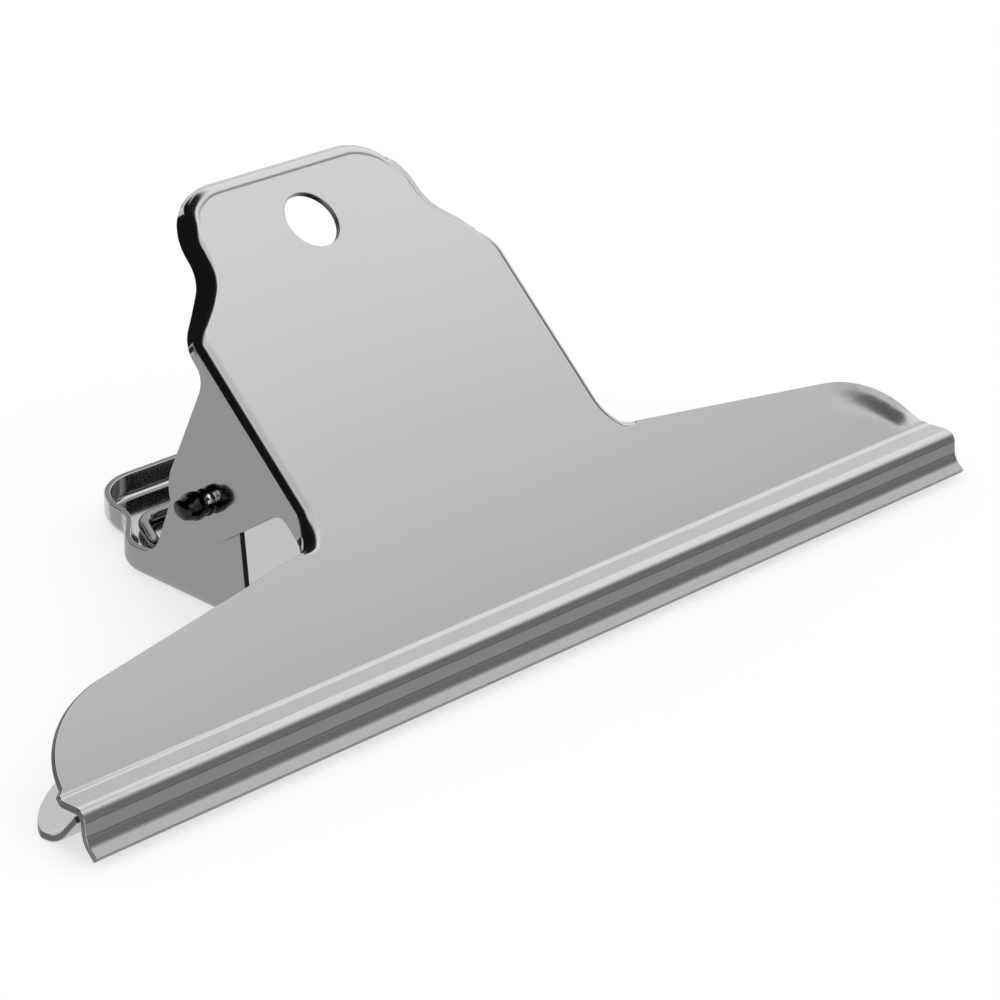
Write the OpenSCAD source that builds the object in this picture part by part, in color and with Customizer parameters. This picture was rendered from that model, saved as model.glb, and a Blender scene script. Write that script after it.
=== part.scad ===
// Bulldog clip: two pressed sheet-steel plates hinged on one pin,
// with a double torsion spring between their handles.
// Millimetres, +Z up, jaws along X, handles towards +Y.

/* [Jaws] */
// Length of the jaws from end to end
jaw_width = 145; // [130:1:160]
// Height of the wings above the jaw line, beside the neck
wing_root = 18.1; // [17.4:0.1:18.6]
// Length of a rounded wing corner on the front plate, along the jaw
front_corner_run = 13.6; // [10:0.1:16]
// Height of a rounded wing corner on the front plate
front_corner_rise = 10.1; // [9:0.1:10.8]
// How far the front plate's wings stop short of the jaw's ends
front_wing_inset = 1.1; // [0.5:0.1:2]
// Length of a rounded wing corner on the back plate, along the jaw
back_corner_run = 15; // [11:0.1:17]
// Height of a rounded wing corner on the back plate
back_corner_rise = 9.6; // [8.5:0.1:10.6]
// Angle between the two closed plates
plate_angle = 41.5; // [40:0.1:43]
// Height of the front plate's jaw line above the ground
jaw_height = 3.57; // [3.4:0.01:3.8]
// Length of the step from the face up to the ridge
ridge_step = 2.15; // [1.9:0.05:2.3]
// Length of the flared lip
lip_length = 0.9; // [0.6:0.1:1.4]

/* [Sheet] */
// Thickness of the pressed sheet
sheet_thickness = 0.8; // [0.7:0.05:0.9]

/* [Handle] */
// Width across the neck of the front plate
neck_width = 49.6; // [48.4:0.2:51]
// Width across the grip
grip_width = 36.4; // [34:0.2:37]
// Distance from the jaw line to the end of the front handle
front_handle = 62.9; // [60:0.1:66]
// Distance from the jaw line to the end of the back handle
back_handle = 60.3; // [58:0.1:62]
// Radius of the curve that runs the neck's edge out into the wing
neck_flare = 5; // [4:0.1:6]
// Distance from the jaw line to the start of the shoulder
shoulder_start = 43.5; // [42.5:0.1:44.5]
// Radius of the two bends in the shoulder's outline
shoulder_radius = 5.3; // [4.8:0.1:5.5]
// Radius of the grip's end corners
grip_corner = 8; // [6:0.1:8.5]
// Depth of the front handle's turned-down rim
front_rim = 2.5; // [2:0.1:3.2]
// Height of the back handle's turned-up rim
back_rim = 3.7; // [3.2:0.1:4.2]
// Diameter of the hanging hole
hole_diameter = 7.2; // [5:0.1:8.5]
// Distance from the handle's end to the centre of the hanging hole
hole_inset = 8.4; // [7.8:0.1:10]

/* [Hinge] */
// Distance from the jaw line to the pin, along the front plate
pin_along = 31; // [30:0.1:32]
// Distance from the front plate's face down to the pin
pin_below = 13.5; // [13.1:0.1:14]
// Diameter of the pin
pin_diameter = 3; // [2.6:0.1:3.2]
// Running clearance between the pin and the ears, all round
pin_clearance = 0.05; // [0.02:0.01:0.1]
// Length of pin outside each front ear
pin_overhang = 3.5; // [3:0.1:5]
// Radius of the front ears' rounded tips
front_ear_tip = 5.4; // [5:0.1:5.6]
// Width of a front ear where it leaves the plate
front_ear_base = 17.8; // [17:0.1:18.6]
// Radius of the back ears' rounded tips
back_ear_tip = 4.9; // [4.5:0.1:5.1]
// Width of a back ear where it leaves the plate
back_ear_base = 16.4; // [15.8:0.1:17]
// Side clearance between a front ear and a back ear
ear_gap = 0.3; // [0.2:0.05:0.4]

/* [Spring] */
// Diameter of the spring wire
wire_diameter = 1.5; // [1.2:0.1:1.6]
// Full turns in each of the two coils
coil_turns = 4; // [3:1:4]
// Mean radius of the coils
coil_radius = 2.9; // [2.8:0.05:3.2]
// Gap between neighbouring turns
coil_gap = 0.55; // [0.5:0.05:0.65]
// Half the length of the bridge between the two back legs
bridge_reach = 15.2; // [13:0.1:15.4]
// Distance of the bridge from the back handle's end
bridge_inset = 8.2; // [7.4:0.1:9.5]
// Distance from the front handle's end to the tips of the front legs
front_leg_inset = 9.5; // [9:0.1:12]

/* [Hidden] */
$fn = 64;
arc_steps = 9;

// Bends of the front jaw, as radius of the outer face and turn in degrees
valley_radius = 1.0;
valley_turn = 45;
ridge_radius = 1.5;
ridge_turn = 87;
ridge_fall = 1.15;
lip_radius = 2.2;
lip_turn = 50;
front_face_start = 3.485;

// Rolled lip of the back jaw
roll_radius = 5;
back_face_start = 3.6;
back_offset = 1.4;
seat_along = 0.2;
seat_height = 1.0;

half_jaw = jaw_width / 2;
half_neck = neck_width / 2;
half_back_neck = half_neck - sheet_thickness - ear_gap;
half_grip = grip_width / 2;
corner_base = 3.2;
front_corner_power = 2;
back_corner_power = 1.5;
shoulder_turn = 50;
flare_turn = 65;
flare_top = wing_root - 0.4 + neck_flare * sin(flare_turn);
flare_low = flare_top - neck_flare * sin(flare_turn);
ear_root = 3.5;
pinch_length = 1.6;

// Where a point of the front plate lies before the part is centred
function lifted(s, n) = [
    s * cos(plate_angle) - n * sin(plate_angle),
    s * sin(plate_angle) + n * cos(plate_angle) + jaw_height
];

// A bend walked in short steps, each as a point and a heading
function bend_points(p, h, r, turn, left) = left == 0 ? [] :
    let (d = turn / left)
    let (q = p + 2 * r * sin(abs(d) / 2) * [cos(h + d / 2), sin(h + d / 2)])
    concat([[q, h + d]], bend_points(q, h + d, r, turn - d, left - 1));

// A path made of moves [length] or [radius, turn]
function walk(moves, i, p, h) = i == len(moves) ? [[p, h]] :
    len(moves[i]) == 1
    ? concat([[p, h]], walk(moves, i + 1, p + moves[i][0] * [cos(h), sin(h)], h))
    : let (bend = bend_points(p, h, moves[i][0], moves[i][1], arc_steps))
      let (last = bend[arc_steps - 1])
      concat([[p, h]], [for (k = [0 : arc_steps - 2]) bend[k]], walk(moves, i + 1, last[0], last[1]));

// The strip of sheet on the left side of a path
function strip(path) = concat(
    [for (q = path) q[0]],
    [for (k = [len(path) - 1 : -1 : 0])
        path[k][0] + sheet_thickness * [cos(path[k][1] + 90), sin(path[k][1] + 90)]]
);

front_path = walk(
    [[valley_radius, -valley_turn], [ridge_step], [ridge_radius, ridge_turn], [ridge_fall],
     [lip_radius, -lip_turn], [lip_length]],
    0, [front_face_start, 0], 180
);
front_tip = front_path[len(front_path) - 1][0];

// The back lip runs straight from its roll into the groove behind the ridge
seat = lifted(seat_along, seat_height);
roll_middle = roll_radius - sheet_thickness / 2;
seat_run = back_face_start + back_offset - seat[0];
seat_rise = roll_radius - seat[1];
seat_reach = sqrt(seat_run * seat_run + seat_rise * seat_rise);
roll_turn = asin(roll_middle / seat_reach) - atan2(seat_rise, seat_run);
back_lip = sqrt(seat_reach * seat_reach - roll_middle * roll_middle);
back_path = walk([[roll_radius, roll_turn], [back_lip]], 0, [back_face_start, 0], 180);

// The whole part is centred on the ground between the lip and the back handle's end
low_y = lifted(front_tip[0], front_tip[1])[0];
high_y = back_handle + back_offset;
centre_y = (low_y + high_y) / 2;
pin_raw = lifted(pin_along, -pin_below);
pin_y = pin_raw[0] - centre_y;
pin_z = pin_raw[1];

module place_front() {
    translate([0, -centre_y, jaw_height])
        rotate([plate_angle, 0, 0])
            children();
}

module place_back() {
    translate([0, back_offset - centre_y, 0])
        mirror([0, 0, 1])
            children();
}

module both_sides() {
    children();
    mirror([1, 0, 0])
        children();
}

// Both wings seen from above, from one rounded corner to the other.
// A corner has a length, a height, a distance from the jaw's end and a power that sets how full it is.
module wing_outline(half_width, face_start, corner) {
    last_angle = 80;
    run = corner[0];
    rise = corner[1];
    middle = half_jaw - corner[2] - run;
    share = 2 / corner[3];
    low_angle = asin(pow((face_start - corner_base) / rise, 1 / share));
    curve = [for (k = [0 : 16])
        let (a = low_angle + (last_angle - low_angle) * k / 16)
        [middle + run * pow(cos(a), share), corner_base + rise * pow(sin(a), share)]];
    polygon(concat(
        curve,
        [[half_width, wing_root], [-half_width, wing_root]],
        [for (k = [16 : -1 : 0]) [-curve[k][0], curve[k][1]]]
    ));
}

// Edge of the handle, from the neck up to the middle of the grip's end,
// as points with the direction that faces outwards
function turned(centre, radius, from, to, steps, out) = [
    for (k = [0 : steps])
        let (a = from + (to - from) * k / steps)
        [centre[0] + radius * cos(a), centre[1] + radius * sin(a), out * cos(a), out * sin(a)]
];
function shoulder_run(half_width) =
    (half_width - half_grip - 2 * shoulder_radius * (1 - cos(shoulder_turn))) / sin(shoulder_turn);
function shoulder_end(half_width) =
    shoulder_start + 2 * shoulder_radius * sin(shoulder_turn) + shoulder_run(half_width) * cos(shoulder_turn);
function half_edge(half_width, top) = concat(
    turned([half_width + neck_flare, flare_top], neck_flare, 180 + flare_turn, 180, 8, -1),
    turned([half_width - shoulder_radius, shoulder_start], shoulder_radius, 0, shoulder_turn, 8, 1),
    turned([half_grip + shoulder_radius, shoulder_end(half_width)], shoulder_radius,
           180 + shoulder_turn, 180, 8, -1),
    turned([half_grip - grip_corner, top - grip_corner], grip_corner, 0, 90, 12, 1)
);
function whole_edge(half_width, top) =
    let (right = half_edge(half_width, top))
    concat(right, [for (k = [len(right) - 1 : -1 : 0])
        [-right[k][0], right[k][1], -right[k][2], right[k][3]]]);

// The handle's outline, brought in from its edge by a distance and run straight down to a low line
module handle_outline(half_width, top, inset, low) {
    edge = whole_edge(half_width, top);
    foot = edge[0][0] - inset * edge[0][2];
    polygon(concat(
        [[foot, low]],
        [for (q = edge) [q[0] - inset * q[2], q[1] - inset * q[3]]],
        [[-foot, low]]
    ));
}

// The standing edge of a handle, one sheet thick
module rim_outline(half_width, top) {
    difference() {
        handle_outline(half_width, top, 0, flare_low);
        handle_outline(half_width, top, sheet_thickness, flare_low - 1);
    }
}

// Angle on a circle where a straight edge from a point touches it
function touch_angle(p, centre, radius, side) =
    let (away = centre - p)
    atan2(away[1], away[0]) + side * (asin(radius / norm(away)) + 90);

// One ear seen from the side, along the plate and out of it.
// An ear has the radius of its tip, the distance from its near edge to the pin, its width at the plate
// and the offset of the tip's centre from the pin. Its far edge runs out into the rim.
module ear_outline(pin_at, shape, rim) {
    tip = shape[0];
    centre = pin_at + shape[3];
    near = [pin_at[0] - shape[1], -ear_root - 1.3];
    far = [pin_at[0] - shape[1] + shape[2], -sheet_thickness];
    near_angle = touch_angle(near, centre, tip, -1);
    far_angle = touch_angle(far, centre, tip, 1);
    lean = (centre[0] + tip * cos(far_angle) - far[0]) / (centre[1] + tip * sin(far_angle) - far[1]);
    edge_at = far[0] - lean * (rim - sheet_thickness);
    start = min(flare_top, near[0] - 1.4);
    polygon(concat(
        [[start, -sheet_thickness], [start, -ear_root], [near[0] - 0.9, -ear_root],
         [near[0] - 0.35, -ear_root - 0.45], near],
        [for (k = [0 : 30])
            let (a = near_angle + (far_angle - near_angle) * k / 30)
            centre + tip * [cos(a), sin(a)]],
        [[edge_at - lean * 1.8, -rim - 1.8], [edge_at - lean * 0.9 + 0.25, -rim - 0.7],
         [edge_at + 0.7, -rim - 0.15], [edge_at + 1.5, -rim], [edge_at + 1.5, -sheet_thickness]]
    ));
}

module ear(half_width, pin_at, shape, rim) {
    difference() {
        translate([half_width - sheet_thickness, 0, 0])
            rotate([90, 0, 90])
                linear_extrude(sheet_thickness)
                    ear_outline(pin_at, shape, rim);
        translate([half_width - 2 * sheet_thickness, pin_at[0], pin_at[1]])
            rotate([0, 90, 0])
                cylinder(h = 3 * sheet_thickness, d = pin_diameter + 2 * pin_clearance);
    }
}

module jaw_strip(path) {
    translate([-half_jaw, 0, 0])
        rotate([90, 0, 90])
            linear_extrude(jaw_width)
                polygon(strip(path));
}

// A whole plate, its outer face at height zero
module plate(half_width, top, face_start, path, corner, pin_at, ear_shape, rim) {
    translate([0, 0, -sheet_thickness])
        linear_extrude(sheet_thickness) {
            wing_outline(half_width, face_start, corner);
            handle_outline(half_width, top, 0, wing_root - 2);
        }
    translate([0, 0, -rim])
        linear_extrude(rim)
            rim_outline(half_width, top);
    translate([0, 0, -ear_root])
        linear_extrude(ear_root)
            intersection() {
                rim_outline(half_width, top);
                translate([-half_jaw, 0])
                    square([jaw_width, flare_top + 0.3]);
            }
    both_sides()
        ear(half_width, pin_at, ear_shape, rim);
    jaw_strip(path);
}

module front_plate() {
    color([0.72, 0.73, 0.75])
        place_front()
            difference() {
                plate(half_neck, front_handle, front_face_start, front_path,
                      [front_corner_run, front_corner_rise, front_wing_inset, front_corner_power],
                      [pin_along, -pin_below], [front_ear_tip, 7.1, front_ear_base, [0.6, -0.3]], front_rim);
                translate([0, front_handle - hole_inset, -2 * sheet_thickness])
                    cylinder(h = 3 * sheet_thickness, d = hole_diameter);
            }
}

module back_plate() {
    color([0.66, 0.67, 0.7])
        place_back()
            plate(half_back_neck, back_handle, back_face_start, back_path,
                  [back_corner_run, back_corner_rise, 0, back_corner_power],
                  [pin_raw[0] - back_offset, -pin_raw[1]], [back_ear_tip, 5.7, back_ear_base, [0.7, -0.3]],
                  back_rim);
}

// The pin, its ends pinched flat just outside the ears
module pivot_pin() {
    reach = half_neck + pin_overhang;
    chamfer = 0.4;
    pinch_width = 1.45 * pin_diameter;
    color([0.5, 0.5, 0.52])
        translate([0, pin_y, pin_z]) {
            translate([chamfer - reach, 0, 0])
                rotate([0, 90, 0])
                    cylinder(h = 2 * (reach - chamfer), d = pin_diameter);
            both_sides() {
                translate([reach - chamfer, 0, 0])
                    rotate([0, 90, 0])
                        cylinder(h = chamfer, d1 = pin_diameter, d2 = pin_diameter - 2 * chamfer);
                translate([half_neck + 0.2 + pinch_length / 2, 0, 0])
                    intersection() {
                        sphere(d = pinch_width);
                        cube([pinch_length, pinch_width, 0.5 * pin_diameter], center = true);
                    }
            }
        }
}

// Route of the spring wire on the right side, from the middle of the bridge
// along the back leg, round the coil and out to the end of the front leg
wire_radius = wire_diameter / 2;
rest_gap = 0.05;
coil_pitch = wire_diameter + coil_gap;
coil_outer_x = half_back_neck - sheet_thickness - 0.5 - wire_radius;
bridge_y = high_y - centre_y - bridge_inset;
floor_z = sheet_thickness + wire_radius + rest_gap;
knee = [bridge_reach + 3.6, bridge_y - 6.8, floor_z];

function front_leg_point(s) =
    let (p = lifted(s, -sheet_thickness - wire_radius - rest_gap))
    [p[0] - centre_y, p[1]];
foot_length = 6;
front_touch = front_leg_point(front_handle - front_leg_inset - foot_length);
front_end = front_leg_point(front_handle - front_leg_inset);

function around_pin(p) = atan2(p[1] - pin_z, p[0] - pin_y);
function leave_angle(p) = acos(coil_radius / norm([p[0] - pin_y, p[1] - pin_z]));
coil_from = around_pin([knee[1], knee[2]]) - leave_angle([knee[1], knee[2]]);
coil_to_raw = around_pin(front_touch) + leave_angle(front_touch) - 360;
coil_sweep = coil_from - coil_to_raw + 360 * coil_turns;
coil_count = ceil(coil_sweep / 45);
coil_inner_x = coil_outer_x - coil_pitch * coil_sweep / 360;

coil_points = [for (k = [0 : coil_count])
    let (a = coil_from - coil_sweep * k / coil_count)
    [coil_outer_x + (coil_inner_x - coil_outer_x) * k / coil_count,
     pin_y + coil_radius * cos(a),
     pin_z + coil_radius * sin(a)]];

// A corner of the wire, rounded over a distance on both sides
function soft_corner(before, corner, after, reach) =
    let (a = corner + reach * (before - corner) / norm(before - corner))
    let (b = corner + reach * (after - corner) / norm(after - corner))
    [for (k = [0 : 4]) let (f = k / 4) (1 - f) * (1 - f) * a + 2 * f * (1 - f) * corner + f * f * b];

bridge_middle = [0, bridge_y, floor_z];
bridge_end = [bridge_reach, bridge_y, floor_z];
touch = [coil_inner_x, front_touch[0], front_touch[1]];
half_route = concat(
    [[bridge_reach / 2, bridge_y, floor_z]],
    soft_corner(bridge_middle, bridge_end, knee, 2.4),
    soft_corner(bridge_end, knee, coil_points[0], 1.8),
    coil_points,
    soft_corner(coil_points[coil_count], touch, [coil_inner_x, front_end[0], front_end[1]], 1.5),
    [[coil_inner_x, front_end[0], front_end[1]]]
);
route = concat(
    [for (k = [len(half_route) - 1 : -1 : 0]) [-half_route[k][0], half_route[k][1], half_route[k][2]]],
    [bridge_middle],
    half_route
);

// Least gap between stretches of the wire that aren't neighbours
near_count = 7;
self_gap = min([for (i = [0 : len(route) - 1 - near_count])
    min([for (j = [i + near_count : len(route) - 1]) norm(route[i] - route[j])])]) - wire_diameter;
echo("spring self gap", self_gap, "points", len(route));

function direction(i) =
    let (d = route[min(i + 1, len(route) - 1)] - route[max(i - 1, 0)])
    d / norm(d);
function carried(i, r) = i == len(route) ? [] :
    let (t = direction(i))
    let (u = r - (r * t) * t)
    let (v = u / norm(u))
    concat([[v, cross(t, v)]], carried(i + 1, v));

module spring() {
    wire_sides = 6;
    frames = carried(0, [1, 0, 0]);
    last = (len(route) - 1) * wire_sides;
    points = [for (i = [0 : len(route) - 1]) for (k = [0 : wire_sides - 1])
        route[i] + wire_radius * (cos(360 * k / wire_sides) * frames[i][0]
            + sin(360 * k / wire_sides) * frames[i][1])];
    walls = [for (i = [0 : len(route) - 2]) for (k = [0 : wire_sides - 1]) for (half = [0, 1])
        let (a = i * wire_sides + k)
        let (b = i * wire_sides + (k + 1) % wire_sides)
        half == 0 ? [a, a + wire_sides, b + wire_sides] : [a, b + wire_sides, b]];
    ends = [for (k = [1 : wire_sides - 2]) for (half = [0, 1])
        half == 0 ? [0, k, k + 1] : [last, last + k + 1, last + k]];
    color([0.42, 0.43, 0.45])
        polyhedron(points, concat(walls, ends), convexity = 8);
}

front_plate();
back_plate();
pivot_pin();
spring();
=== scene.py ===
# Looks of the bulldog clip: two nickel-plated steel plates, the hinge pin and the spring wire.
# Shapes are worked out in millimetres on the flat sheet and set in metres in the part's own frame.
import math

import bmesh
import bpy
from mathutils import Matrix, Vector
from mathutils.geometry import delaunay_2d_cdt


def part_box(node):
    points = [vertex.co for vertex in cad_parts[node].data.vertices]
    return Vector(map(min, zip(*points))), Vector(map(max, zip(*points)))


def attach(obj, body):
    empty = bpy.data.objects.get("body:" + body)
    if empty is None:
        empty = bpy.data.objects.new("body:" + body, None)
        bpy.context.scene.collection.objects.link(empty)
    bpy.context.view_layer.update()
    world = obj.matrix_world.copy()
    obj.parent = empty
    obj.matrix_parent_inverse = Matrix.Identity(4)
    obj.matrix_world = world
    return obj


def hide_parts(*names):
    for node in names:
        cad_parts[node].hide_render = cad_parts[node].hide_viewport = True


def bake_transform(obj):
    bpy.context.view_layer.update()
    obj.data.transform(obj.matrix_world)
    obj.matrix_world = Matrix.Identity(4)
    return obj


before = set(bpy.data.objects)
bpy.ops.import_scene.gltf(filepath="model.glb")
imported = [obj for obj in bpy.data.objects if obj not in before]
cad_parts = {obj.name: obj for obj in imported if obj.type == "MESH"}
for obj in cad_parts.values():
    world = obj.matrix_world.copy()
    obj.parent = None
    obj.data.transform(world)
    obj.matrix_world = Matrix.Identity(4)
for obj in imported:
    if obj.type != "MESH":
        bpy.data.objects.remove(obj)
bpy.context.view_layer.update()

# Sizes of the clip
SHEET = 0.8
EDGE_ROUND = 0.12
MM = 0.001
FLAT = 0.0002
HALF_JAW = 72.5
PLATE_ANGLE = math.radians(41.5)
JAW_HEIGHT = 3.57
WING_ROOT = 18.1
CORNER_BASE = 3.2
HALF_NECK = 24.8
EAR_GAP = 0.3
HALF_BACK_NECK = HALF_NECK - SHEET - EAR_GAP
HALF_GRIP = 18.2
FRONT_HANDLE = 62.9
BACK_HANDLE = 60.3
BACK_OFFSET = 1.4
SHOULDER_START = 43.5
SHOULDER_RADIUS = 5.3
WAIST_RADIUS = 6
SHOULDER_TURN = 44
LEAN_RUN = 6.2
GRIP_CORNER = 8
BEAD = ((0.5, 0, 0), (0.28, 0.02, -0.26), (0.1, 0.05, -0.1))
NECK_FLARE = 5
FLARE_TURN = 65
FLARE_TOP = WING_ROOT - 0.4 + NECK_FLARE * math.sin(math.radians(FLARE_TURN))
FLARE_END = 0.6
EAR_ROOT = 3.4
HOLE_RADIUS = 3.6
HOLE_IN_EAR = 1.55
HOLE_AT = FRONT_HANDLE - 8.4
PIN_ALONG = 31
PIN_BELOW = 13.5
PIN_RADIUS = 1.5
PIN_OVERHANG = 3.5
WIRE_RADIUS = 0.75

high_y = BACK_HANDLE + BACK_OFFSET
centre_y = high_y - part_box("back_plate")[1].y * 1000


def on_front(p):
    """Where a point of the flat front plate lies in the clip."""
    x, s, n = p
    c = math.cos(PLATE_ANGLE)
    k = math.sin(PLATE_ANGLE)
    return Vector((x, s * c - n * k - centre_y, s * k + n * c + JAW_HEIGHT))


def on_back(p):
    """Where a point of the flat back plate lies in the clip."""
    x, s, n = p
    return Vector((x, s + BACK_OFFSET - centre_y, -n))


pin = on_front((0, PIN_ALONG, -PIN_BELOW))


def eased(f):
    """A share from 0 to 1 that starts and ends gently."""
    f = min(1.0, max(0.0, f))
    return f * f * (3 - 2 * f)


def between(a, b, f):
    return a + (b - a) * f


def spaced(a, b, step):
    """Values from a to b, ends included, no further apart than a step."""
    count = max(1, math.ceil(abs(b - a) / step))
    return [between(a, b, k / count) for k in range(count + 1)]


# Jaw profiles: points along the plate and out of it, each with its heading
def walked(moves, start, heading):
    path = [(start, heading)]
    for move in moves:
        if len(move) == 1:
            steps = max(1, round(move[0] / 0.35))
            for _ in range(steps):
                p, h = path[-1]
                path.append((p + move[0] / steps * Vector((math.cos(h), math.sin(h))), h))
        else:
            radius, turn = move[0], math.radians(move[1])
            steps = max(4, round(abs(math.degrees(turn)) / 6))
            d = turn / steps
            for _ in range(steps):
                p, h = path[-1]
                chord = 2 * radius * math.sin(abs(d) / 2)
                middle = h + d / 2
                path.append((p + chord * Vector((math.cos(middle), math.sin(middle))), h + d))
    return path


def front_jaw():
    moves = [(1.0, -45), (2.15,), (1.5, 87), (1.15,), (2.2, -43), (1.15,)]
    return walked(moves, Vector((3.485, 0)), math.pi)


def back_jaw():
    """The back lip rolls up and runs straight into the groove behind the front ridge."""
    roll_radius = 5
    face_start = 3.6
    seat = on_front((0, 0.2, 1.0))
    seat_s = seat.y + centre_y
    middle = roll_radius - SHEET / 2
    run = face_start + BACK_OFFSET - seat_s
    rise = roll_radius - seat.z
    reach = math.hypot(run, rise)
    turn = math.degrees(math.asin(middle / reach)) - math.degrees(math.atan2(rise, run))
    lip = math.sqrt(reach * reach - middle * middle)
    return walked([(roll_radius, turn), (lip,)], Vector((face_start, 0)), math.pi)


class Sheet:
    """The outer face of a pressed plate on the flat, with the way that each point faces."""

    def __init__(self):
        self.points = []
        self.facing = []
        self.faces = []
        self.known = {}

    def at(self, point, facing):
        point = Vector(point)
        key = tuple(round(c, 3) for c in point)
        if key not in self.known:
            self.known[key] = len(self.points)
            self.points.append(point)
            self.facing.append(Vector(facing).normalized())
        return self.known[key]

    def fill(self, corners):
        """Adds one small face with its outer side out."""
        ring = [c for i, c in enumerate(corners) if c != corners[i - 1]]
        if len(ring) < 3 or len(set(ring)) < len(ring):
            return
        spots = [self.points[c] for c in ring]
        way = sum((a.cross(b) for a, b in zip(spots, spots[1:] + spots[:1])), Vector())
        if way.dot(sum((self.facing[c] for c in ring), Vector())) < 0:
            ring.reverse()
        self.faces.append(ring)

    def patch(self, rows):
        """Fills the quads between neighbouring rows of points."""
        for low, high in zip(rows, rows[1:]):
            for k in range(len(low) - 1):
                self.fill([low[k], low[k + 1], high[k + 1], high[k]])

    def thick(self, name, place):
        """The closed plate: outer face, inner face and rounded cut edges, set where it lies."""
        sides = {}
        for ring in self.faces:
            for a, b in zip(ring, ring[1:] + ring[:1]):
                sides.setdefault((min(a, b), max(a, b)), []).append((a, b))
        free = [found[0] for found in sides.values() if len(found) == 1]
        away = {}
        for a, b in free:
            out = (self.points[b] - self.points[a]).cross(self.facing[a] + self.facing[b]).normalized()
            for c in (a, b):
                away[c] = away.get(c, Vector()) + out
        zero = place(Vector())
        spots, ways, faces, cuts = [], [], [], []

        def add(point, way):
            spots.append(place(point) * MM)
            ways.append((place(way) - zero).normalized())
            return len(spots) - 1

        outer, inner, rims = [], [], {}
        for k, (p, f) in enumerate(zip(self.points, self.facing)):
            if k not in away:
                outer.append(add(p, f))
                inner.append(add(p - SHEET * f, -f))
                continue
            out = away[k].normalized()
            rim = []
            for a in (0, 30, 60, 90, 90, 120, 150, 180):
                way = math.sin(math.radians(a)) * out + math.cos(math.radians(a)) * f
                level = EDGE_ROUND if len(rim) < 4 else SHEET - EDGE_ROUND
                rim.append(add(p - EDGE_ROUND * out - level * f + EDGE_ROUND * way, way))
            outer.append(rim[0])
            inner.append(rim[-1])
            rims[k] = rim
        for ring in self.faces:
            faces.append([outer[k] for k in ring])
            faces.append([inner[k] for k in reversed(ring)])
        for a, b in free:
            for k in range(7):
                if k == 3:
                    cuts.append(len(faces))
                faces.append([rims[b][k], rims[a][k], rims[a][k + 1], rims[b][k + 1]])
        sides = [place(Vector(way)) - zero for way in ((1, 0, 0), (0, 1, 0), (0, 0, 1))]
        if sides[0].cross(sides[1]).dot(sides[2]) < 0:
            faces = [list(reversed(ring)) for ring in faces]
        mesh = bpy.data.meshes.new(name)
        mesh.from_pydata(spots, [], faces)
        for k in cuts:
            mesh.polygons[k].material_index = 1
        mesh.polygons.foreach_set("use_smooth", [True] * len(faces))
        mesh.normals_split_custom_set_from_vertices(ways)
        return mesh


def inside(x, s, loop):
    """Whether a place lies within a closed outline."""
    within = False
    for a, b in zip(loop, loop[1:] + loop[:1]):
        if (a[1] > s) != (b[1] > s) and x < a[0] + (s - a[1]) * (b[0] - a[0]) / (b[1] - a[1]):
            within = not within
    return within


def filled(border, holes, step, spread):
    """Triangles that fill a closed outline round its holes, as corner places."""
    loop = []
    for p in border:
        if not loop or math.hypot(p[0] - loop[-1][0], p[1] - loop[-1][1]) > 1e-4:
            loop.append((p[0], p[1]))
    coords = [Vector(p) for p in loop]
    edges = [(k, (k + 1) % len(loop)) for k in range(len(loop))]
    for centre, radius in holes:
        start = len(coords)
        for k in range(72):
            a = math.tau * k / 72
            coords.append(Vector((centre[0] + radius * math.cos(a), centre[1] + radius * math.sin(a))))
            edges.append((start + k, start + (k + 1) % 72))
    fixed = list(coords)
    low_x, high_x = min(c.x for c in fixed), max(c.x for c in fixed)
    low_s, high_s = min(c.y for c in fixed), max(c.y for c in fixed)
    for row, s in enumerate(spaced(low_s + spread, high_s - spread, step * 0.87)):
        near = [c for c in fixed if abs(c.y - s) < spread]
        for x in spaced(low_x + step * 0.5 * (row % 2), high_x, step):
            p = Vector((x, s))
            if any((p - Vector(centre)).length < radius + spread for centre, radius in holes):
                continue
            if inside(x, s, loop) and all((p - c).length > spread for c in near):
                coords.append(p)
    found = delaunay_2d_cdt(coords, edges, [], 0, 1e-5, False)
    triangles = []
    for triangle in found[2]:
        corners = [found[0][k] for k in triangle]
        middle = sum(corners, Vector((0, 0))) / 3
        reach = [max((c - Vector(centre)).length - radius for c in corners) for centre, radius in holes]
        if all(r > 0.001 for r in reach) and inside(middle.x, middle.y, loop):
            triangles.append(corners)
    return triangles


def placed(name, mesh, *materials):
    """A new object with its materials and smooth shading."""
    thing = bpy.data.objects.new(name, mesh)
    bpy.context.scene.collection.objects.link(thing)
    for material in materials:
        mesh.materials.append(material)
    mesh.polygons.foreach_set("use_smooth", [True] * len(mesh.polygons))
    return thing


def turned(centre, radius, first, last, steps, out):
    """Points round a corner of the outline, each with the way it faces outwards."""
    points = []
    for k in range(steps + 1):
        a = math.radians(between(first, last, k / steps))
        x, y = math.cos(a), math.sin(a)
        points.append((centre[0] + radius * x, centre[1] + radius * y, out * x, out * y))
    return points


def touch_angle(p, centre, radius, side):
    """Angle on a circle where a straight edge from a point touches it."""
    away = centre - p
    return math.atan2(away.y, away.x) + side * (math.asin(radius / away.length) + math.pi / 2)


def curved(a, corner, b, steps):
    points = []
    for k in range(steps + 1):
        f = k / steps
        points.append((1 - f) * (1 - f) * a + 2 * f * (1 - f) * corner + f * f * b)
    return points


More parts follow.
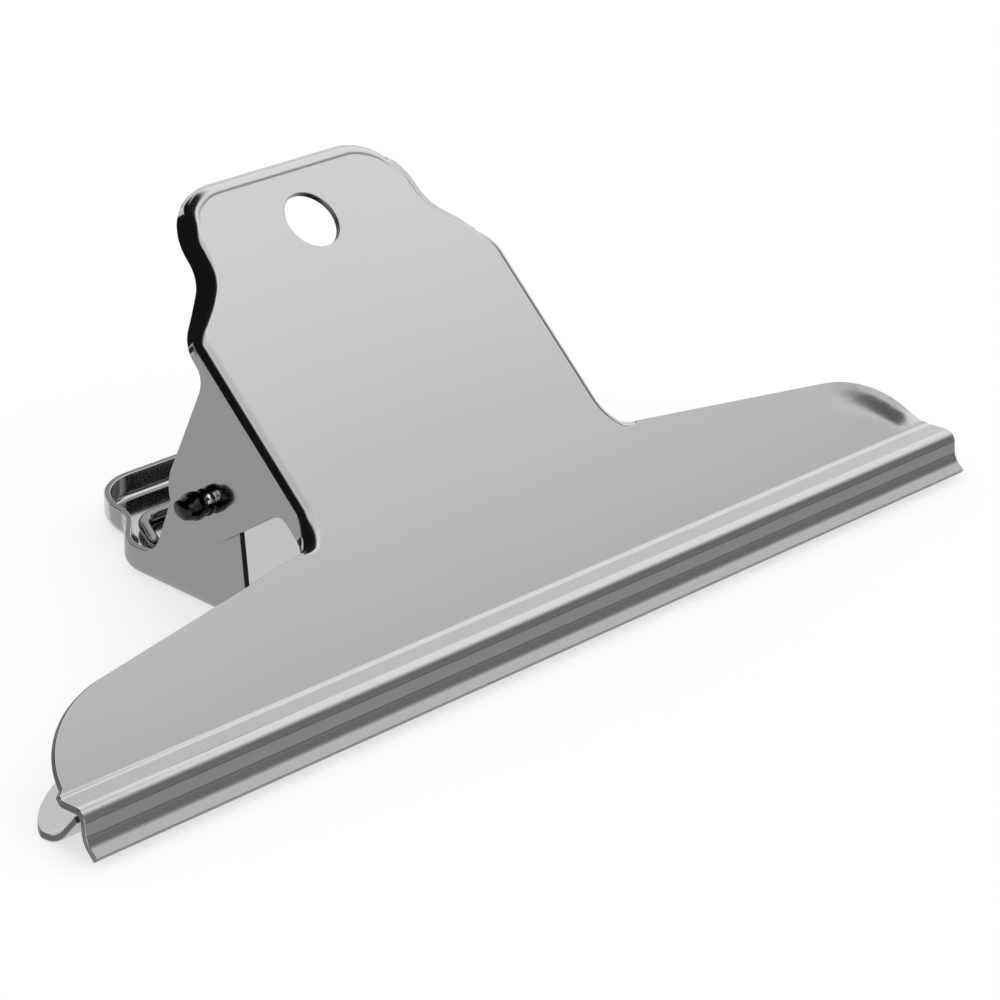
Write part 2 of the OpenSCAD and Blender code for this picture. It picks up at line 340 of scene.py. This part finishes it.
def ear_edge(ear, rim):
    """Free edge of one ear from its root beside the wing to the rim: places along the plate, and depths."""
    tip, near_reach, base, shift = ear["tip"], ear["near"], ear["base"], Vector(ear["shift"])
    pin_at = Vector(ear["pin"])
    centre = pin_at + shift
    near = Vector((pin_at.x - near_reach, -EAR_ROOT - 1.4))
    far = Vector((pin_at.x - near_reach + base, -SHEET))
    near_angle = touch_angle(near, centre, tip, -1) % (2 * math.pi)
    far_angle = touch_angle(far, centre, tip, 1) % (2 * math.pi)
    if far_angle < near_angle:
        far_angle += 2 * math.pi
    round_tip = []
    for k in range(41):
        a = between(near_angle, far_angle, k / 40)
        round_tip.append(centre + tip * Vector((math.cos(a), math.sin(a))))
    low = round_tip[0]
    high = round_tip[-1]
    lean = (far - high).normalized()
    rim_at = high + lean * ((-rim - high.y) / lean.y)
    near_line = (low - near).normalized()
    corner = near - near_line * 1.4
    points = curved(Vector((corner.x - 1.5, -EAR_ROOT)), Vector((corner.x - 0.1, -EAR_ROOT)),
                    near + near_line * 0.2, 9)
    points += [near.lerp(low, 0.05 + 0.95 * k / 14) for k in range(14)]
    points += round_tip
    start = rim_at - lean * 2.4
    points += [high.lerp(start, k / 14) for k in range(1, 14)]
    points += curved(start, rim_at, Vector((min(rim_at.x + 2.6, SHOULDER_START - 0.4), -rim)), 10)
    kept = []
    for p in points:
        if not kept or p.x > kept[-1][0] + 0.012:
            kept.append((p.x, -p.y))
    return kept


def half_outline(half_width, top, ear, rim):
    """One side of the handle's outline from the wing to the middle of the grip's end.
    Each point has its place, the way it faces, the depth, bend radius and turn of the standing edge,
    and how far that has become the grip's lower, leaning edge."""
    flare_centre = (half_width + NECK_FLARE, FLARE_TOP)
    points = []
    flare = turned(flare_centre, NECK_FLARE, 180 + FLARE_TURN, 180, 22, -1)
    edge = [p for p in ear_edge(ear, rim) if p[0] > FLARE_TOP + 0.1]
    for k, (x, s, nx, ns) in enumerate(flare[:-1]):
        f = k / (len(flare) - 1)
        depth = between(FLARE_END, EAR_ROOT, math.sin(f * math.pi / 2))
        points.append((x, s, nx, ns, depth, ear["bend"], 90, 0))
    for s in spaced(FLARE_TOP, edge[0][0], 0.4)[:-1]:
        points.append((half_width, s, 1, 0, EAR_ROOT, ear["bend"], 90, 0))
    for s, depth in edge:
        points.append((half_width, s, 1, 0, depth, ear["bend"], 90, 0))
    for s in spaced(edge[-1][0], SHOULDER_START, 0.4)[1:-1]:
        points.append((half_width, s, 1, 0, rim, ear["bend"], 90, 0))
    turn = math.radians(SHOULDER_TURN)
    run = half_width - HALF_GRIP - (SHOULDER_RADIUS + WAIST_RADIUS) * (1 - math.cos(turn))
    end = SHOULDER_START + (SHOULDER_RADIUS + WAIST_RADIUS) * math.sin(turn) + run / math.tan(turn)
    rest = turned((half_width - SHOULDER_RADIUS, SHOULDER_START), SHOULDER_RADIUS, 0, SHOULDER_TURN, 14, 1)
    waist = turned((HALF_GRIP + WAIST_RADIUS, end), WAIST_RADIUS, 180 + SHOULDER_TURN, 180, 14, -1)
    rest += [p for p in waist if p[1] < top - GRIP_CORNER - 0.1]
    rest += turned((HALF_GRIP - GRIP_CORNER, top - GRIP_CORNER), GRIP_CORNER, 0, 90, 30, 1)
    rest.append((0, top, 0, 1))
    last = None
    for point in rest:
        if last is not None:
            gap = math.hypot(point[0] - last[0], point[1] - last[1])
            steps = max(1, math.ceil(gap / 0.8))
            for k in range(1, steps):
                step = [between(a, b, k / steps) for a, b in zip(last, point)]
                points.append(handle_edge(step, top, ear, rim))
        points.append(handle_edge(point, top, ear, rim))
        last = point
    return points


def handle_edge(point, top, ear, rim):
    """A point of the grip's outline. The standing edge leans out and is lower along the grip's sides."""
    x, s, nx, ns = point
    up = eased((s - SHOULDER_START) / LEAN_RUN)
    end = eased((ns - 0.45) / 0.45) if s > top - GRIP_CORNER else 0
    side = up * (1 - end)
    depth = between(rim, ear["end"][0], up * end)
    bend = between(ear["bend"], ear["end"][1], up * end)
    return (x, s, nx, ns, depth, bend, 90, side)


def wing_edge(half_width, face_start, corner):
    """Free edge of one wing, from the jaw line round its corner to the neck's flare."""
    run, rise, inset, power = corner
    middle = HALF_JAW - inset - run
    share = 2 / power
    step = 0.8 if inset else 0
    low_angle = math.asin(((face_start + step - CORNER_BASE) / rise) ** (1 / share))
    points = []
    for k in range(41):
        a = between(low_angle, math.radians(80), k / 40)
        points.append((middle + run * math.cos(a) ** share, CORNER_BASE + rise * math.sin(a) ** share))
    if inset:
        reach = HALF_JAW - 0.35 - points[0][0]
        points = [(HALF_JAW - 0.35 - reach * (1 - (1 - f) ** 2), face_start + step * f)
                  for f in (k / 6 for k in range(6))] + points
    x, s = points[-1]
    flare_x = half_width + NECK_FLARE * (1 - math.cos(math.radians(FLARE_TURN)))
    slope = (WING_ROOT - s) / (half_width - x)
    for k in range(1, 31):
        px = between(x, flare_x + 0.12, k / 30)
        points.append((px, s + slope * (px - x)))
    return points


def pressed_plate(name, place, half_width, top, path, corner, ear, rim, curl, hole):
    """One plate, pressed from sheet: jaw, wings, handle with its standing edge, and two ears."""
    sheet = Sheet()
    face_start = path[0][0].x
    wing = wing_edge(half_width, face_start, corner)
    outline = half_outline(half_width, top, ear, rim)

    # The right wing's end is pressed down a little beside its free edge
    def sunk(x, s):
        share = eased((x - 57) / 12)
        if curl == 0 or share == 0:
            return 0
        place_here = Vector((x, s))
        away = 99
        for a, b in zip(wing, wing[1:]):
            a, b = Vector(a), Vector(b)
            f = min(1, max(0, (place_here - a).dot(b - a) / (b - a).length_squared))
            away = min(away, (place_here - a.lerp(b, f)).length)
        return -curl * share * (1 - eased((away - 0.8) / 4.4)) * eased((s - face_start) / 2.6)

    def flat(x, s):
        low = sunk(x, s)
        d = 0.05
        tilt_x = (sunk(x + d, s) - sunk(x - d, s)) / (2 * d)
        tilt_s = (sunk(x, s + d) - sunk(x, s - d)) / (2 * d)
        return sheet.at((x, s, low), (-tilt_x, -tilt_s, 1))

    # Jaw, from the face down over the lip
    stations = [k / 96 for k in range(-96, 97)]
    rows = []
    for k, (p, h) in enumerate(path):
        reach = between(wing[0][0], HALF_JAW, eased(k / 9))
        facing = (0, math.sin(h), -math.cos(h))
        rows.append([sheet.at((u * reach, p.x, p.y), facing) for u in stations])
    sheet.patch(rows)
    border = [(u * wing[0][0], face_start) for u in stations] + wing[1:]

    # Bends and standing edges of the handle, behind a fine bead along the grip's end,
    # with the ears' sides filled in round the pin's hole
    neck = [k for k, o in enumerate(outline)
            if FLARE_TOP - 1e-6 <= o[1] <= SHOULDER_START and o[0] == half_width]
    sides = []
    for side in (1, -1):
        columns = []
        leaning = ear["right"] if side > 0 else ear["left"]
        for k, (x, s, nx, ns, low, bend, turn, share) in enumerate(outline):
            low, bend, turn = (between(a, b, share) for a, b in zip((low, bend, turn), leaning))
            turn = math.radians(turn)
            bend = min(bend, (low - 0.05) / (1 - math.cos(turn)))
            slope = (low - bend * (1 - math.cos(turn))) / math.sin(turn)
            start = bend * math.sin(turn) + slope * math.cos(turn)
            bead = eased((ns - 0.3) / 0.5) * ear["bead"] if s > top - GRIP_CORNER else 0
            column = []
            for back, lift, tilt in BEAD:
                way = (side * bead * tilt * nx, bead * tilt * ns, 1)
                out = -start - back
                column.append(sheet.at((side * (x + out * nx), s + out * ns, bead * lift), way))
            for step in range(16):
                a = turn * min(12, step) / 12
                way = (side * math.sin(a) * nx, math.sin(a) * ns, math.cos(a))
                straight = slope * max(0, step - 12) / 3
                out = bend * math.sin(a) + straight * math.cos(a) - start
                down = bend * (1 - math.cos(a)) + straight * math.sin(a)
                if step < 13 or not neck[0] < k < neck[-1]:
                    column.append(sheet.at((side * (x + out * nx), s + out * ns, -down), way))
            columns.append(column)
        bead_count = len(BEAD)
        bend_end = bead_count + 13
        sides.append(columns[0][bead_count:0:-1] + [column[0] for column in columns])
        sheet.patch(columns[:neck[0] + 1])
        sheet.patch([column[:bend_end] for column in columns[neck[0]:neck[-1] + 1]])
        sheet.patch(columns[neck[-1]:])
        ear_border = [(outline[k][1], -min(outline[k][5], outline[k][4] - 0.05)) for k in neck]
        for k, end in ((neck[-1], 1), (neck[0], -1)):
            spots = [sheet.points[c] for c in columns[k][bend_end:bend_end + 2]]
            ear_border += [(p.y, p.z) for p in spots[::end]]
            if end == 1:
                ear_border += [(outline[j][1], -outline[j][4]) for j in reversed(neck)]
        for corners in filled(ear_border, [(ear["pin"], HOLE_IN_EAR)], 1.0, 0.4):
            sheet.fill([sheet.at((side * half_width, c.x, c.y), (side, 0, 0)) for c in corners])

    right, left = [[tuple(sheet.points[c][:2]) for c in side] for side in sides]
    border += right + left[::-1][1:] + [(-x, s) for x, s in reversed(wing[1:])]
    for corners in filled(border, [((0, hole), HOLE_RADIUS)] if hole else [], 1.1, 0.55):
        sheet.fill([flat(c.x, c.y) for c in corners])
    return sheet.thick(name, place)


# Materials
class Shade:
    """A shader socket that takes part in sums."""

    def __init__(self, tree, socket):
        self.tree = tree
        self.socket = socket

    def _sum(self, operation, first, second):
        return node(self.tree, "ShaderNodeMath", {"operation": operation}, {0: first, 1: second})

    def __add__(self, other):
        return self._sum("ADD", self, other)

    __radd__ = __add__

    def __sub__(self, other):
        return self._sum("SUBTRACT", self, other)

    def __rsub__(self, other):
        return self._sum("SUBTRACT", other, self)

    def __mul__(self, other):
        return self._sum("MULTIPLY", self, other)

    __rmul__ = __mul__


def node(tree, kind, settings=None, values=None, output=0):
    """Adds a node with its settings, then the values or links of its sockets, and gives one output."""
    made = tree.nodes.new(kind)
    for key, value in (settings or {}).items():
        if key == "stops":
            ramp = made.color_ramp.elements
            while len(ramp) < len(value):
                ramp.new(0.5)
            for stop, (place, shade) in zip(ramp, value):
                stop.position = place
                stop.color = (shade, shade, shade, 1)
        else:
            setattr(made, key, value)
    for key, value in (values or {}).items():
        if isinstance(value, Shade):
            tree.links.new(value.socket, made.inputs[key])
        else:
            made.inputs[key].default_value = value
    return Shade(tree, made.outputs[output] if len(made.outputs) else None)


def new_material(name):
    material = bpy.data.materials.new(name)
    material.use_nodes = True
    tree = material.node_tree
    tree.nodes.clear()
    return material, tree


def finish_material(tree, shader):
    node(tree, "ShaderNodeOutputMaterial", {}, {"Surface": shader})


def plated_metal(name, colour, spread, rough, rough_spread, grain, painted_glint_at=None):
    """Bright plating with faint rolling marks along the sheet, soft unevenness and fine handling marks,
    and with one painted glint, a small near-white spot painted into the colour, where a place is given."""
    material, tree = new_material(name)
    place = node(tree, "ShaderNodeTexCoord", {}, {}, "Object")
    along = node(tree, "ShaderNodeMapping", {}, {"Vector": place, "Scale": (60, 900, 900)})
    rolled = node(tree, "ShaderNodeTexNoise", {}, {"Vector": along, "Scale": 1.0, "Detail": 3.0}, "Fac")
    cloud = node(tree, "ShaderNodeTexNoise", {}, {"Vector": place, "Scale": 38.0, "Detail": 2.0}, "Fac")
    speck = node(tree, "ShaderNodeTexNoise", {}, {"Vector": place, "Scale": 5200.0, "Detail": 2.0}, "Fac")
    marks = node(tree, "ShaderNodeTexVoronoi", {"feature": "DISTANCE_TO_EDGE"},
                 {"Vector": place, "Scale": 260.0}, "Distance")
    worn = node(tree, "ShaderNodeValToRGB", {"stops": [(0.0, 1.0), (0.018, 0.0)]},
                {"Fac": marks}, "Color")
    low = colour - spread
    high = colour + spread
    tone = node(tree, "ShaderNodeMix", {"data_type": "RGBA"},
                {"Factor": 0.6 * cloud + 0.4 * rolled, "A": (low, low, low, 1), "B": (high, high, high, 1)},
                "Result")
    # Painted glint: the base colour turns near white in one small spot, a highlight painted onto the dark
    # pin
    if painted_glint_at:
        split = node(tree, "ShaderNodeVectorMath", {"operation": "ABSOLUTE"}, {0: place})
        away = node(tree, "ShaderNodeVectorMath", {"operation": "DISTANCE"},
                    {0: split, 1: painted_glint_at}, "Value")
        spot = node(tree, "ShaderNodeMapRange", {"interpolation_type": "SMOOTHSTEP"},
                    {"Value": away, "From Min": 0.00095, "From Max": 0.00062})
        tone = node(tree, "ShaderNodeMix", {"data_type": "RGBA"},
                    {"Factor": spot, "A": tone, "B": (0.95, 0.95, 0.95, 1)}, "Result")
    roughness = rough + rough_spread * (cloud + rolled - 1) + 0.03 * (speck - 0.5) + 0.012 * worn
    height = cloud + 0.027 * rolled + 0.009 * speck
    bump = node(tree, "ShaderNodeBump", {},
                {"Strength": 0.5 * grain, "Distance": 0.0011, "Height": height}, "Normal")
    shader = node(tree, "ShaderNodeBsdfPrincipled", {},
                  {"Base Color": tone, "Metallic": 1.0, "Roughness": roughness, "Normal": bump})
    finish_material(tree, shader)
    return material


nickel = plated_metal("nickel_plate", 0.5, 0.012, 0.12, 0.03, 0.05)
# The cut edges are rougher and darker than the face: partly their dull sheared finish, partly painted shade
# for the dark floor their thin rims reflect
cut_edge_dull_and_shaded = plated_metal("nickel_cut_edge", 0.2, 0.03, 0.4, 0.06, 0.4)
# Place of the painted glint on the pin's swollen ends beside the ears, a painted highlight
painted_glint_place = Vector((HALF_NECK + 0.45, abs(pin.y - 1.2), pin.z + 1.2)) * MM
dark_steel = plated_metal("dark_pin_steel", 0.045, 0.01, 0.1, 0.04, 0.1, painted_glint_place)
spring_steel = plated_metal("spring_wire_steel", 0.22, 0.03, 0.14, 0.05, 0.1)

# Front plate. An ear has its tip's radius and shift from the pin, its edges' places, the bend of its root,
# the grip end's depth and bend, and each side's depth, bend and turn
front_ear = {"tip": 5.4, "near": 7.1, "base": 17.8, "shift": (0.6, -0.3), "pin": (PIN_ALONG, -PIN_BELOW),
             "bend": 1.65, "end": (1.75, 1.6), "left": (1.9, 0.85, 50), "right": (0.6, 0.85, 24), "bead": 1}
front_mesh = pressed_plate("front_plate_sheet", on_front, HALF_NECK, FRONT_HANDLE, front_jaw(),
                           (13.6, 10.1, 1.1, 2), front_ear, 2.5, 0.38, HOLE_AT)
front = placed("front_plate_sheet", front_mesh, nickel, cut_edge_dull_and_shaded)

# Back plate
back_ear = {"tip": 4.9, "near": 5.7, "base": 16.4, "shift": (0.7, -0.3),
            "pin": (pin.y + centre_y - BACK_OFFSET, -pin.z), "bend": 1.5, "end": (3.7, 1.5),
            "left": (3.7, 1.6, 89), "right": (3.7, 1.6, 89), "bead": 0}
back_mesh = pressed_plate("back_plate_sheet", on_back, HALF_BACK_NECK, BACK_HANDLE, back_jaw(),
                          (15, 9.6, 0, 1.5), back_ear, 3.7, 0, None)
back = placed("back_plate_sheet", back_mesh, nickel, cut_edge_dull_and_shaded)


def lathe(name, profile, sides, shape=None):
    """A bar along X from stations and radii, its section reshaped where a shape is given."""
    bm = bmesh.new()
    rings = []
    for x, radius in profile:
        ring = []
        for k in range(sides):
            a = math.tau * k / sides
            wide, thin = shape(x) if shape else (1, 1)
            y = radius * wide * math.cos(a)
            z = radius * thin * math.sin(a)
            ring.append(bm.verts.new(Vector((x, pin.y + y, pin.z + z)) * MM))
        rings.append(ring)
    for low, high in zip(rings, rings[1:]):
        for k in range(sides):
            j = (k + 1) % sides
            bm.faces.new([low[k], low[j], high[j], high[k]])
    bm.faces.new(list(reversed(rings[0])))
    bm.faces.new(rings[-1])
    bmesh.ops.recalc_face_normals(bm, faces=bm.faces)
    mesh = bpy.data.meshes.new(name)
    bm.to_mesh(mesh)
    bm.free()
    return mesh


def pin_profile():
    """Half the pin and its mirror: plain between the ears, with a neck and a swollen end outside them."""
    outside = [(0.3, 1.4), (0.62, 1.38), (1.25, 1.68), (1.9, 1.74), (2.7, 1.6), (3.3, 1.42),
               (PIN_OVERHANG, 1.05)]
    half = [(x, PIN_RADIUS) for x in spaced(0, HALF_NECK, 1.5)[:-1]]
    near = (0, PIN_RADIUS)
    for far in outside:
        for k in range(6):
            f = k / 6
            half.append((HALF_NECK + between(near[0], far[0], f), between(near[1], far[1], eased(f))))
        near = far
    half.append((HALF_NECK + near[0], near[1]))
    return [(-x, r) for x, r in reversed(half[1:])] + half


def pressed_flat(x):
    """The tool leaves the pin's ends a little flattened."""
    f = eased((abs(x) - HALF_NECK - 1.5) / 1.4)
    return 1 + 0.08 * f, 1 - 0.18 * f


pivot = placed("hinge_pin", lathe("hinge_pin", pin_profile(), 48, pressed_flat), dark_steel)


# Spring wire
def front_leg_point(s):
    p = on_front((0, s, -SHEET - WIRE_RADIUS - 0.05))
    return (p.y, p.z)


def spring_route():
    """The wire's middle line, from the tip of one front leg to the other."""
    coil_radius = 2.9
    turns = 4
    outer_x = HALF_BACK_NECK - SHEET - 0.5 - WIRE_RADIUS
    bridge_y = high_y - centre_y - 8.2
    floor_z = SHEET + WIRE_RADIUS + 0.05
    knee = Vector((18.8, bridge_y - 6.8, floor_z))
    tip = front_leg_point(FRONT_HANDLE - 9.5)
    touch = front_leg_point(FRONT_HANDLE - 15.5)

    def around(p):
        return math.atan2(p[1] - pin.z, p[0] - pin.y)

    def leave(p):
        return math.acos(coil_radius / math.hypot(p[0] - pin.y, p[1] - pin.z))

    first = around(knee.yz) - leave(knee.yz)
    last = around(touch) + leave(touch) - math.tau
    sweep = first - last + math.tau * turns
    inner_x = outer_x - (2 * WIRE_RADIUS + 0.55) * sweep / math.tau
    steps = math.ceil(sweep / math.radians(12))
    coil = []
    for k in range(steps + 1):
        a = first - sweep * k / steps
        coil.append(Vector((between(outer_x, inner_x, k / steps),
                            pin.y + coil_radius * math.cos(a), pin.z + coil_radius * math.sin(a))))

    def corner(before, middle, after, reach):
        a = middle + (before - middle).normalized() * reach
        b = middle + (after - middle).normalized() * reach
        return curved(a, middle, b, 8)

    middle = Vector((0, bridge_y, floor_z))
    end = Vector((15.2, bridge_y, floor_z))
    lean = Vector((inner_x, touch[0], touch[1]))
    free = Vector((inner_x, tip[0], tip[1]))
    half = [middle, middle.lerp(end, 0.4)]
    half += corner(middle, end, knee, 2.4)
    half += corner(end, knee, coil[0], 1.8)
    half += [knee.lerp(coil[0], f) for f in (0.2, 0.4, 0.6, 0.8)]
    half += coil
    half += [coil[-1].lerp(lean, f) for f in (0.15, 0.3, 0.45, 0.6, 0.75, 0.88)]
    half += corner(coil[-1], lean, free, 1.5)
    half += [lean.lerp(free, 0.6), free]
    return [Vector((-p.x, p.y, p.z)) for p in reversed(half[1:])] + half


def wire(name, route, radius, sides):
    """An unbroken round wire along a route, with slightly rounded ends."""
    bm = bmesh.new()
    rings = []
    across = Vector((1, 0, 0))
    last = len(route) - 1
    for k, p in enumerate(route):
        along = (route[min(k + 1, last)] - route[max(k - 1, 0)]).normalized()
        across = (across - across.dot(along) * along).normalized()
        up = along.cross(across)
        ring = []
        for i in range(sides):
            a = math.tau * i / sides
            ring.append(bm.verts.new((p + radius * (math.cos(a) * across + math.sin(a) * up)) * MM))
        rings.append(ring)
    for low, high in zip(rings, rings[1:]):
        for i in range(sides):
            j = (i + 1) % sides
            bm.faces.new([low[i], low[j], high[j], high[i]])
    for ring, way in ((rings[0], route[0] - route[1]), (rings[-1], route[-1] - route[-2])):
        middle = sum((v.co for v in ring), Vector()) / sides
        tip = middle + way.normalized() * 0.18 * MM
        small = [bm.verts.new(tip + (v.co - middle) * 0.72) for v in ring]
        for i in range(sides):
            j = (i + 1) % sides
            bm.faces.new([ring[i], ring[j], small[j], small[i]])
        bm.faces.new(small)
    bmesh.ops.recalc_face_normals(bm, faces=bm.faces)
    mesh = bpy.data.meshes.new(name)
    bm.to_mesh(mesh)
    bm.free()
    return mesh


spring_mesh = wire("torsion_spring_wire", spring_route(), WIRE_RADIUS, 16)
spring = placed("torsion_spring_wire", spring_mesh, spring_steel)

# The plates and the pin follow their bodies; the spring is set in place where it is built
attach(front, "front_plate")
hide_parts("front_plate")
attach(back, "back_plate")
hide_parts("back_plate")
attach(pivot, "back_plate")
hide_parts("pivot_pin")
front_way = Vector((0, *front_leg_point(FRONT_HANDLE - 15.5))) - Vector((0, pin.y, pin.z))
back_way = Vector((0, high_y - centre_y - 15, SHEET)) - Vector((0, pin.y, pin.z))
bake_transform(spring)
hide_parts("spring")

# Carried-over solids keep the same finishes under their stand-ins
for name, material in (("front_plate", nickel), ("back_plate", nickel), ("pivot_pin", dark_steel),
                       ("spring", spring_steel)):
    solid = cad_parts[name].data
    solid.materials.clear()
    solid.materials.append(material)


# Floor, cards and light. The cards show in the plating alone
def card(name, spot, strength, soft):
    """A studio card bent to a surface. Each value of soft is the share over which one edge fades out."""
    cells = 24
    mesh = bpy.data.meshes.new(name)
    corners = [spot(i / cells, j / cells) for j in range(cells + 1) for i in range(cells + 1)]
    row = cells + 1
    starts = [j * row + i for j in range(cells) for i in range(cells)]
    mesh.from_pydata(corners, [], [(k, k + 1, k + row + 1, k + row) for k in starts])
    spread = mesh.uv_layers.new(name="spread")
    for corner in mesh.loops:
        j, i = divmod(corner.vertex_index, row)
        spread.data[corner.index].uv = (i / cells, j / cells)
    thing = bpy.data.objects.new(name, mesh)
    bpy.context.scene.collection.objects.link(thing)
    thing.visible_camera = False
    thing.visible_diffuse = False
    thing.visible_shadow = False
    material, tree = new_material(name + "_face")
    mesh.materials.append(material)
    place = node(tree, "ShaderNodeTexCoord", {}, {}, "UV")
    shown = 1.0
    for axis in (0, 1):
        along = node(tree, "ShaderNodeSeparateXYZ", {}, {0: place}, axis)
        for value, reach in ((along, soft[2 * axis]), (1 - along, soft[2 * axis + 1])):
            shown = shown * node(tree, "ShaderNodeMapRange", {"interpolation_type": "SMOOTHSTEP"},
                                 {"Value": value, "From Min": 0.0, "From Max": reach})
    clear = node(tree, "ShaderNodeBsdfTransparent")
    lit = node(tree, "ShaderNodeEmission", {}, {"Color": (strength, strength, strength, 1)})
    finish_material(tree, node(tree, "ShaderNodeMixShader", {}, {0: shown, 1: clear, 2: lit}))
    return thing


def arch(low, high, x0, x1, reach):
    """A surface bent round the clip's length, from one angle past upright to another, towards the front."""
    def spot(u, v):
        a = math.radians(between(low, high, v))
        return Vector((between(x0, x1, u), -reach * math.sin(a), reach * math.cos(a)))
    return spot


def side_wall(low, high, y0, y1, reach):
    """A surface bent round the other way, from one angle past upright to another, towards the left."""
    def spot(u, v):
        a = math.radians(between(low, high, v))
        return Vector((-reach * math.sin(a), between(y0, y1, u), reach * math.cos(a)))
    return spot


def board(x0, x1, y0, y1, z):
    """A flat board that lies on the floor."""
    return lambda u, v: Vector((between(x0, x1, u), between(y0, y1, v), z))


card("bright_roof", arch(-56, 32, 0.05, 3.2, 1.2), 1.36, (0.12, 0.1, 0.2, 0.24))
card("dark_front", arch(20, 90, -0.6, 3.6, 1.22), 0.26, (0.1, 0.1, 0.5, 0.02))
card("dark_left", side_wall(26, 90, -1.05, 0.5, 0.95), 0.012, (0.1, 0.12, 0.2, 0.02))
card("dark_back_left", side_wall(-36, 90, -0.22, 3.2, 0.97), 0.012, (0.05, 0.02, 0.1, 0.02))
card("dark_right", lambda u, v: Vector((1.2, between(-0.42, 0.12, u), between(0.05, 0.95, v))), 0.16,
     (0.3, 0.3, 0.2, 0.2))
card("front_board", board(-0.14, 1.5, -1.2, -0.0326, FLAT), 0.22, (0.02, 0.1, 0.05, 0.002))
card("near_board", board(-0.14, 1.5, -0.046, -0.0326, 1.5 * FLAT), 0.44, (0.02, 0.1, 0.5, 0.02))
card("left_board", board(-0.4, -0.0178, -0.028, 0.12, 1.5 * FLAT), 0.56, (0.3, 0.002, 0.03, 0.2))
card("dark_back_board", board(-0.45, 0.35, 0.1, 0.9, FLAT), 0.012, (0.05, 0.1, 0.05, 0.2))

floor_mesh = bpy.data.meshes.new("floor")
floor_mesh.from_pydata([(-6, -6, 0), (6, -6, 0), (6, 6, 0), (-6, 6, 0)], [], [(0, 1, 2, 3)])
floor = bpy.data.objects.new("floor", floor_mesh)
bpy.context.scene.collection.objects.link(floor)
floor.location.z = -FLAT / 2
floor_material, tree = new_material("pale_floor")
camera_ray, glossy_ray, through_ray = (node(tree, "ShaderNodeLightPath", {}, {}, ray) for ray in
                                       ("Is Camera Ray", "Is Glossy Ray", "Is Transmission Ray"))
seen = camera_ray + glossy_ray + through_ray
matt = node(tree, "ShaderNodeBsdfDiffuse", {}, {"Color": (0.4, 0.4, 0.4, 1)})
glow = node(tree, "ShaderNodeEmission", {}, {"Color": (1, 1, 1, 1), "Strength": 0.62 * seen})
finish_material(tree, node(tree, "ShaderNodeAddShader", {}, {0: matt, 1: glow}))
floor_mesh.materials.append(floor_material)

world = bpy.data.worlds.new("white_studio")
bpy.context.scene.world = world
world.use_nodes = True
world.node_tree.nodes.clear()
sky = node(world.node_tree, "ShaderNodeBackground", {}, {"Color": (1, 1, 1, 1), "Strength": 1.0})
node(world.node_tree, "ShaderNodeOutputWorld", {}, {"Surface": sky})

# Camera at the photograph's place
camera_data = bpy.data.cameras.new("camera")
camera = bpy.data.objects.new("camera", camera_data)
bpy.context.scene.collection.objects.link(camera)
right = Vector((0.68216, -0.73010, 0.04020))
up = Vector((0.27516, 0.30726, 0.91098))
back_way = right.cross(up).normalized()
up = back_way.cross(right).normalized()
right.normalize()
spot = Vector((-293.12, -254.55 - centre_y, 192.04)) * MM
camera.matrix_world = Matrix.Translation(spot) @ Matrix((right, up, back_way)).transposed().to_4x4()
camera_data.sensor_width = 36
camera_data.lens = 136.8
camera_data.clip_start = 0.01
camera_data.clip_end = 100
bpy.context.scene.camera = camera
bpy.context.scene.view_settings.view_transform = "Standard"
